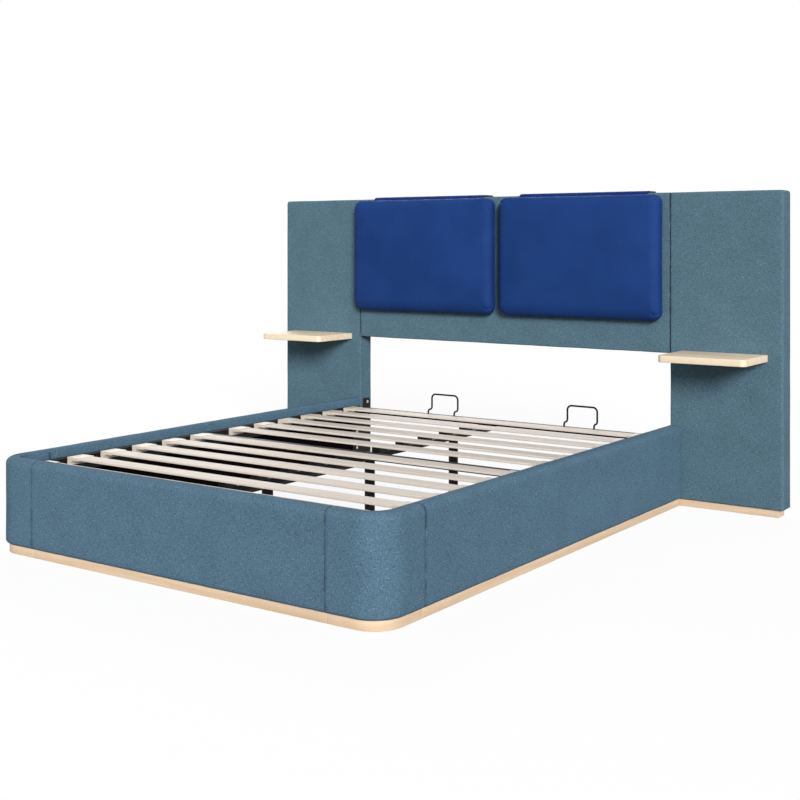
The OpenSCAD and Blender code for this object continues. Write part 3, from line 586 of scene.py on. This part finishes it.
plinthCorners = [
    (plinth["inset"], 0), (plinth["inset"], plinth["height"]), (boardThick, plinth["height"]),
    (boardThick, plinth["filletTop"]), (boardThick + plinth["filletThick"], plinth["filletTop"]),
    (boardThick + plinth["filletThick"], 0)]
plinthRadii = [plinth["edge"], plinth["edge"], 0, 0, plinth["filletEdge"], plinth["edge"]]
plinthSection, plinthNormals, plinthLength = roundedLoop(
    plinthCorners, plinthRadii, plinth["sectionSpacing"], 4)

for run, side, coverName, plinthName in [
        ("foot", 1, "foot_rail_cover", "plinth_foot"),
        ("corner", 1, "corner_cover_right", "plinth_corner_right"),
        ("corner", -1, "corner_cover_left", "plinth_corner_left"),
        ("side", 1, "side_rail_cover_right", "plinth_right"),
        ("side", -1, "side_rail_cover_left", "plinth_left")]:
    path, inward = railPath(run, rail["spacing"], footGap=rail["footSeam"], sideGap=rail["sideSeam"])
    shell = sweep(path, inward, coverSection, coverNormals, coverLength, rail["seamRadius"], coverGive)
    cover = buildPiece(coverName + "_cloth", mirrored(shell, side))
    ends = []
    for row, other, strength in zip((0, -1), (1, -2), seamShadeStrength[run]):
        step = path[row] - path[other]
        place, direction = np.array([[side * x, y, 0] for x, y in (path[row], step)])
        ends.append((place, direction / np.linalg.norm(direction), strength))
    padRipple(cover, rail, ends)
    dress(cover, "upholstery", [coverName])

    path, inward = railPath(run, plinth["spacing"], plinth["jointEdge"], plinth["jointGap"], plinth["jointGap"])
    board = sweep(path, inward, plinthSection, plinthNormals, plinthLength, plinth["jointEdge"])
    board = dress(buildPiece(plinthName + "_oak", mirrored(board, side)), "oakUV", [plinthName])
    aroundSection = faceValues(board)[0][:, 1]
    secondFinish(board, "blackTimber", aroundSection > plinth["height"] + boardThick - plinth["inset"])
print("rails and plinth made")

# lining on the rails' inner faces
lining = {"thick": 0.0012, "edge": 0.0004, "spacing": 0.02}
liningLow, liningHigh = (np.array(c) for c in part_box("rail_lining"))


def liningPath():
    # one strip: up one side, round both corners and along the foot
    runs = [railPath(run, lining["spacing"]) for run in ("corner", "side")]
    right, rightIn = (np.concatenate(part) for part in zip(*runs))
    foot, footIn = railPath("foot", lining["spacing"])
    path = np.concatenate([right[::-1] * [-1, 1], foot, right])
    inward = np.concatenate([rightIn[::-1] * [-1, 1], footIn, rightIn])
    keep = np.concatenate([[True], np.linalg.norm(np.diff(path, axis=0), axis=1) > 1e-4])
    return path[keep], inward[keep]


path, inward = liningPath()
liningFace = boardThick + lining["thick"]
liningCorners = [(boardThick, liningLow[2]), (boardThick, liningHigh[2]), (liningFace, liningHigh[2]),
                 (liningFace, liningLow[2])]
stripSection, stripNormals, stripLength = roundedLoop(liningCorners, [lining["edge"]] * 4, lining["spacing"], 3)
strip = buildPiece("rail_lining_cloth", sweep(path, inward, stripSection, stripNormals, stripLength, 0))
dress(strip, "lining", ["rail_lining"])
print("lining made")

# headboard
head = {
    "frontRadius": 0.013, "backRadius": 0.006, "seamRadius": 0.006, "seamWidth": 0.0036,
    "spacing": 0.02, "sheetSpacing": 0.03, "rim": 0.010, "recess": 0.0016, "seed": 23,
    "ripple": 0.0007, "rippleLength": 0.16, "pucker": 0.0006, "puckerLength": 0.02,
    "clothThick": 0.0010, "clothInset": 0.0008, "clothSunk": 0.0001, "clothEdge": 0.0003,
}
fr, br, sr = head["frontRadius"], head["backRadius"], head["seamRadius"]


def headBlock(name, low, high, plan, front, seamShadeStrengths):
    # an upholstered block with a sunk back and a seam at either side, down to where the panel ends; the last
    # argument is how dark the painted shade in each seam is
    block = softBox(low, high, head["spacing"], plan, [br, br, br, fr], front, (head["rim"], head["recess"]))
    piece = buildPiece(name + "_cloth", block)
    seams = [(np.array([x, 0, panelLow[2]]), np.array([1.0, 0, 0]), strength)
             for x, strength in zip((low[0], high[0]), seamShadeStrengths)]
    padRipple(piece, head, seams)
    dress(piece, "headUpholstery", [name])


leftLow, leftHigh = wingLow.copy(), wingHigh.copy()
leftLow[0], leftHigh[0] = -wingHigh[0], -wingLow[0]
headBlock("panel_cover", panelLow, panelHigh, [sr, sr, br, br], [sr] * 4, (1, 1))
headBlock("wing_cover_right", wingLow, wingHigh, [sr, fr, br, br], [br, br, fr, sr], (1, 0))
headBlock("wing_cover_left", leftLow, leftHigh, [fr, sr, br, br], [br, br, sr, fr], (0, 1))


def backSheet(name, low, high):
    # a stretched cloth with square edges in a block's sunk back, a little inside its rim and below its plane
    rim, edge = head["rim"] + head["clothInset"], [head["clothEdge"]] * 4
    a = np.array([low[0] + rim, high[1] - head["clothThick"], low[2] + rim])
    b = np.array([high[0] - rim, high[1] - head["clothSunk"], high[2] - rim])
    piece = buildPiece(name, softBox(a, b, head["sheetSpacing"], edge, edge, edge))
    dress(piece, "backCloth", ["back_cloth"])
    return a, b


staple = {"long": 0.010, "wire": 0.0007, "proud": 0.0004, "sunk": 0.0002, "every": 0.045, "fromEdge": 0.006,
          "fromCorner": 0.02}


def stapleBoxes(a, b):
    # small bars along the four edges of a sheet, each a square section of wire with both ends closed
    inner, boxes = staple["fromEdge"], []
    reach, half = staple["long"] / 2, staple["wire"] / 2
    root, top = b[1] - staple["sunk"], b[1] + staple["proud"]
    ring = np.array([(-half, root), (-half, top), (half, top), (half, root)])
    for along, across, level in [(0, 2, a[2] + inner), (0, 2, b[2] - inner),
                                 (2, 0, a[0] + inner), (2, 0, b[0] - inner)]:
        first, last = a[along] + staple["fromCorner"], b[along] - staple["fromCorner"]
        middles = np.linspace(first, last, int((last - first) / staple["every"]) + 1)
        points = np.zeros((len(middles), 2, 4, 3))
        points[..., along] = middles[:, None, None] + np.array([-reach, reach])[:, None]
        points[..., across] = level + ring[:, 0]
        points[..., 1] = ring[:, 1]
        for bar in points:
            uv = np.stack(np.meshgrid([0, staple["long"]], np.arange(5) * staple["wire"], indexing="ij"), -1)
            boxes += [patch(bar, uv, closeColumns=True), cap(bar[0], ring), cap(bar[1], ring)]
    return boxes


sheets = [backSheet("back_cloth_middle", panelLow, panelHigh),
          backSheet("back_cloth_right", wingLow, wingHigh),
          backSheet("back_cloth_left", leftLow, leftHigh)]
dress(buildPiece("back_staples", [box for a, b in sheets for box in stapleBoxes(a, b)]), "zinc")

for name in ("wing_plinth_right", "wing_plinth_left"):
    low, high = (np.array(c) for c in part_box(name))
    edge = [plinth["edge"]] * 4
    piece = buildPiece(name + "_oak", softBox(low, high, plinth["sectionSpacing"], edge, edge, edge))
    dress(piece, "oakX", [name])
print("headboard made")

# shelves
shelf = {"frontRadius": 0.022, "edge": 0.0025, "backEdge": 0.0008, "spacing": 0.03, "arcSteps": 14}
for name in ("shelf_right", "shelf_left"):
    low, high = (np.array(c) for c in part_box(name))
    corners = [(low[0], low[1]), (high[0], low[1]), (high[0], high[1]), (low[0], high[1])]
    radii = [shelf["frontRadius"]] * 2 + [shelf["backEdge"]] * 2
    plan, outward, around = roundedLoop(corners, radii, shelf["spacing"], shelf["arcSteps"])
    turn = np.linspace(0, pi / 2, 5)
    drawn = shelf["edge"] * (1 - np.sin(turn))
    rise = shelf["edge"] * (1 - np.cos(turn))
    inset = np.concatenate([drawn, drawn[::-1]])
    level = np.concatenate([low[2] + rise, (high[2] - rise)[::-1]])
    ring = plan[None] - inset[:, None, None] * outward[None]
    points = np.concatenate([ring, np.broadcast_to(level[:, None, None], (*ring.shape[:2], 1))], -1)
    uv = np.stack(np.broadcast_arrays(around[None], level[:, None]), -1)
    patches = [patch(points, uv, closeColumns=True), *(cap(points[row], points[row][:, :2]) for row in (0, -1))]
    dress(buildPiece(name + "_oak", patches), "shelfOak", [name])
print("shelves made")

# cushions
cushion = {
    "frontRadius": 0.034, "lowRadius": 0.056, "backRadius": 0.020, "viewRadius": 0.040,
    "drawSides": 0.005, "drawTops": 0.006, "hangs": 0.006, "leftOut": 0.006,
    "crown": 0.009, "fullPower": 2.6, "cell": 0.009, "start": 0.008, "frames": 20,
    "backHeld": 0.004, "seamHeld": 0.006, "cap": 0.014, "evened": 12, "share": (0.4, 1.0, 0.4),
    "seamFromBack": 0.030, "seamDepth": 0.0022, "seamWidth": 0.0022,
}
cushionCloth = {
    "quality": 6, "mass": 0.3, "tension_stiffness": 60, "compression_stiffness": 60, "bending_stiffness": 15.0,
    "use_pressure": True, "uniform_pressure_force": 4.0, "vertex_group_mass": "held", "pin_stiffness": 4.0,
}


def cushionForm(low, high):
    # a box with round edges whose sides draw in between the corners, and whose front is fullest at the middle
    # and falls away with a power of the distance from it
    middle, half, power = (low + high) / 2, (high - low) / 2, cushion["fullPower"]
    f, b, v = cushion["frontRadius"], cushion["backRadius"], cushion["viewRadius"]
    patches = softBox(low, high, cushion["cell"], [f, f, b, b], [cushion["lowRadius"], b, b, f], [v] * 4)
    result = []
    for points, faces, uv in patches:
        x, z = (points[:, 0] - middle[0]) / half[0], (points[:, 2] - middle[2]) / half[2]
        forward = (high[1] - points[:, 1]) / (high[1] - low[1])
        points = points.copy()
        points[:, 0] -= half[0] * cushion["drawSides"] * (1 - np.clip(z, -1, 1) ** 2) * x
        points[:, 2] -= half[2] * cushion["drawTops"] * (1 - np.clip(x, -1, 1) ** 2) * z
        fullness = np.clip(1 - np.abs(x) ** power, 0, 1) * np.clip(1 - np.abs(z) ** power, 0, 1)
        points[:, 1] += forward * cushion["crown"] * (1 - fullness)
        result.append((points, faces, uv))
    return result


def inflate(piece, seamY, backPlane):
    # cloth under pressure; the back, which lies on the headboard, and the sewn line round the sides are held
    points = np.array([v.co[:] for v in piece.data.vertices])
    held = np.round(np.where(points[:, 1] > backPlane - cushion["backHeld"], 1.0,
                             np.exp(-((points[:, 1] - seamY) / cushion["seamHeld"]) ** 2)), 1)
    pins = piece.vertex_groups.new(name="held")
    for weight in np.unique(held):
        pins.add(np.flatnonzero(held == weight).tolist(), float(weight), "REPLACE")
    cloth = piece.modifiers.new("swell", "CLOTH")
    for key, value in cushionCloth.items():
        setattr(cloth.settings, key, value)
    cloth.settings.effector_weights.gravity = 0
    cloth.point_cache.frame_start, cloth.point_cache.frame_end = 1, cushion["frames"]
    scene = bpy.context.scene
    for number in range(1, cushion["frames"] + 1):
        scene.frame_set(number)
    swelled = piece.evaluated_get(bpy.context.evaluated_depsgraph_get())
    after = np.array([v.co[:] for v in swelled.data.vertices])
    piece.modifiers.remove(cloth)
    piece.vertex_groups.clear()
    scene.frame_set(1)
    step = after - points
    largest = np.linalg.norm(step, axis=1).max()
    # the foam under the cover evens it out: each point takes the mean of its neighbours' steps, many times over
    edges = np.empty(len(piece.data.edges) * 2, int)
    piece.data.edges.foreach_get("vertices", edges)
    a, b = edges.reshape(-1, 2).T
    neighbours = np.bincount(edges, minlength=len(points))[:, None]
    for _ in range(cushion["evened"]):
        total = np.stack([np.bincount(a, step[b, k], len(points)) + np.bincount(b, step[a, k], len(points))
                          for k in range(3)], 1)
        step = 0.5 * step + 0.5 * total / neighbours
    step *= min(1, cushion["cap"] / np.linalg.norm(step, axis=1).max()) * np.array(cushion["share"])
    print("  swelled by up to", round(float(largest) * 1000, 1), "mm, kept", cushion["cap"] * 1000)
    moved(piece, lambda old, normals: old + step)


for side in ("left", "right"):
    low, high = (np.array(c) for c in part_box("cushion_" + side))
    low[2] -= cushion["hangs"]
    low[0] -= cushion["leftOut"] if side == "left" else 0
    shrink = np.array([cushion["start"], 0, cushion["start"]])
    start = low + shrink
    start[1] += cushion["start"]
    piece = buildPiece("cushion_" + side + "_leather", cushionForm(start, high - shrink), 60)
    seamY = high[1] - cushion["seamFromBack"]
    inflate(piece, seamY, high[1])

    def fitted(points, normals):
        # drawn out to the room that the cushion has, with the sewn line sunk in
        lowest, highest = points.min(0), points.max(0)
        points = low + (points - lowest) / (highest - lowest) * (high - low)
        depth = cushion["seamDepth"] * np.exp(-((points[:, 1] - seamY) / cushion["seamWidth"]) ** 2)
        return points - normals * depth[:, None] * [1, 0, 1]
    moved(piece, fitted)
    smooth = piece.modifiers.new("smooth", "SUBSURF")
    smooth.levels = smooth.render_levels = 1
    dress(piece, "leather", ["cushion_" + side], "cushion_" + side + "_body")
print("cushions made")

# flaps
flap = {"thick": 0.008, "edge": 0.0025, "frontRadius": 0.016, "backRadius": 0.006, "front": 0.120,
        "back": 0.150, "spacing": 0.02, "sectionSpacing": 0.012, "endFacing": 0.6}
for side in ("left", "right"):
    low, high = (np.array(c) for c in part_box("flap_" + side))
    t, e, f, b = flap["thick"], flap["edge"], flap["frontRadius"], flap["backRadius"]
    frontEnd, backEnd = high[2] - flap["front"], high[2] - flap["back"]
    corners = [
        (low[1], frontEnd), (low[1], high[2]), (high[1], high[2]), (high[1], backEnd), (high[1] - t, backEnd),
        (high[1] - t, high[2] - t), (low[1] + t, high[2] - t), (low[1] + t, frontEnd)]
    radii = [e, f + t, b + t, e, e, b, f, e]
    section, outward, around = roundedLoop(corners, radii, flap["sectionSpacing"])
    across = spread([low[0], high[0]], flap["spacing"], e)
    path = np.stack([across, np.zeros(len(across))], 1)
    inward = np.tile([0.0, 1.0], (len(across), 1))
    piece = buildPiece("flap_" + side + "_leather", sweep(path, inward, section, outward, around, e))
    dress(piece, "flap", ["flap_" + side], "cushion_" + side + "_body")
    secondFinish(piece, "flapEdge", np.abs(faceValues(piece)[1][:, 0]) > flap["endFacing"])
print("flaps made")


# steel, holders and boards that come from the CAD
steel = {"tube": 0.0016, "plate": 0.0006, "leg": 0.0008, "holder": 0.0012, "saddle": 0.0015, "flatBelow": 1.5,
         "roundAbove": 40}


def refined(node, width, material):
    # a merged copy of a CAD node with its flat faces joined and its edges broken by a small round
    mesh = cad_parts[node].data.copy()
    shell = bmesh.new()
    shell.from_mesh(mesh)
    bmesh.ops.remove_doubles(shell, verts=shell.verts, dist=merge["cad"])
    flat = radians(steel["flatBelow"])
    bmesh.ops.dissolve_limit(shell, angle_limit=flat, verts=shell.verts, edges=shell.edges)
    shell.to_mesh(mesh)
    shell.free()
    piece = addObject(node + "_finished", mesh)
    edges = piece.modifiers.new("edges", "BEVEL")
    edges.width, edges.segments = width, 2
    edges.limit_method, edges.angle_limit = "ANGLE", radians(steel["roundAbove"])
    edges.use_clamp_overlap, edges.harden_normals = True, False
    dress(piece, material, [node])


for node in ("frame_tube_left", "frame_tube_right", "cross_tube_foot", "cross_tube_mid", "cross_tube_head",
             "centre_beam"):
    refined(node, steel["tube"], "blackSteel")
for node in ("corner_plates", "head_brackets", "panel_cleats"):
    refined(node, steel["plate"], "blackSteel")
refined("centre_legs", steel["leg"], "blackSteel")
refined("leg_feet", steel["leg"], "blackPlastic")
refined("slat_holders", steel["holder"], "beige")
refined("slat_saddles", steel["saddle"], "blackPlastic")

kept = {
    "timberX": ["foot_rail_board", "panel_core"],
    "timberY": ["side_rail_board_left", "side_rail_board_right", "corner_board_left", "corner_board_right"],
    "timberZ": ["wing_core_left", "wing_core_right"], "blackTimber": ["ledges"],
    "blackSteel": ["mattress_hoops"], "zinc": ["shelf_rods", "bolts"],
    "beech": ["slat_%02d" % number for number in range(1, 13)],
}
for material, nodes in kept.items():
    for node in nodes:
        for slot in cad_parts[node].material_slots:
            slot.material = materials[material]
print("steel, holders and boards finished")

# camera, light and stage. The camera stands level; it was solved from the photograph
view = {"place": (2.8917, -3.9176, 1.0999), "turned": 35.13, "sensor": 36, "lens": 56.383,
        "shift": (0.0006, -0.1983)}
camera = bpy.data.objects.new("camera", bpy.data.cameras.new("camera"))
bpy.context.scene.collection.objects.link(camera)
camera.location = view["place"]
camera.rotation_euler = (radians(90), 0, radians(view["turned"]))
camera.data.sensor_width, camera.data.lens = view["sensor"], view["lens"]
camera.data.shift_x, camera.data.shift_y = view["shift"]
bpy.context.scene.camera = camera

# broad lamps far off, so both ends of the bed get the same light; turned and raised are degrees from +X
lights = {
    "key": {"turned": -47, "raised": 20, "width": 17, "strength": 3.2},
    "back": {"turned": 130, "raised": 28, "width": 30, "strength": 1.0},
}
for name, values in lights.items():
    lamp = bpy.data.objects.new(name, bpy.data.lights.new(name, "SUN"))
    lamp.data.energy, lamp.data.angle = values["strength"], radians(values["width"])
    lamp.rotation_euler = (0, radians(90 - values["raised"]), radians(values["turned"]))
    bpy.context.scene.collection.objects.link(lamp)

stage = {"half": 14.0, "plainShare": 0.12, "sky": 0.34, "white": 1.04, "seenGrey": 0.82, "bounceGrey": 0.24}


def seenRays(tree):
    # 1 for what the camera sees, straight on, in a mirror or through glass
    rays = addNode(tree, "LightPath")
    seen = calc(tree, "MAXIMUM", rays.outputs["Is Camera Ray"], rays.outputs["Is Glossy Ray"])
    return calc(tree, "MAXIMUM", seen, rays.outputs["Is Transmission Ray"])


floorMesh = bpy.data.meshes.new("floor")
h = stage["half"]
floorMesh.from_pydata([(-h, -h, 0), (h, -h, 0), (h, h, 0), (-h, h, 0)], [], [(0, 1, 2, 3)])
floor = bpy.data.objects.new("floor", floorMesh)
bpy.context.scene.collection.objects.link(floor)
floorMaterial = bpy.data.materials.new("paleFloor")
floorMaterial.use_nodes = True
tree = floorMaterial.node_tree
tree.nodes.clear()
seen = seenRays(tree)
paler = calc(tree, "MULTIPLY", seen, stage["seenGrey"] - stage["bounceGrey"])
grey = calc(tree, "ADD", stage["bounceGrey"], paler)
plain = addNode(tree, "BsdfDiffuse", {"Color": greyOf(tree, grey)})
white = addNode(tree, "Emission", {"Color": (1, 1, 1, 1), "Strength": stage["white"]})
share = calc(tree, "MULTIPLY", seen, 1 - stage["plainShare"])
mixed = addNode(tree, "MixShader", {0: share, 1: plain.outputs[0], 2: white.outputs[0]})
tree.links.new(mixed.outputs[0], tree.nodes.new("ShaderNodeOutputMaterial").inputs[0])
floorMesh.materials.append(floorMaterial)

world = bpy.data.worlds.new("studio")
bpy.context.scene.world = world
world.use_nodes = True
tree = world.node_tree
tree.nodes.clear()
sky = addNode(tree, "Background", {"Color": (1, 1, 1, 1), "Strength": stage["sky"]})
white = addNode(tree, "Background", {"Color": (1, 1, 1, 1), "Strength": 1.0})
mixed = addNode(tree, "MixShader", {0: seenRays(tree), 1: sky.outputs[0], 2: white.outputs[0]})
tree.links.new(mixed.outputs[0], tree.nodes.new("ShaderNodeOutputWorld").inputs[0])
bpy.context.scene.view_settings.view_transform = "Standard"
print("camera, light and stage set")
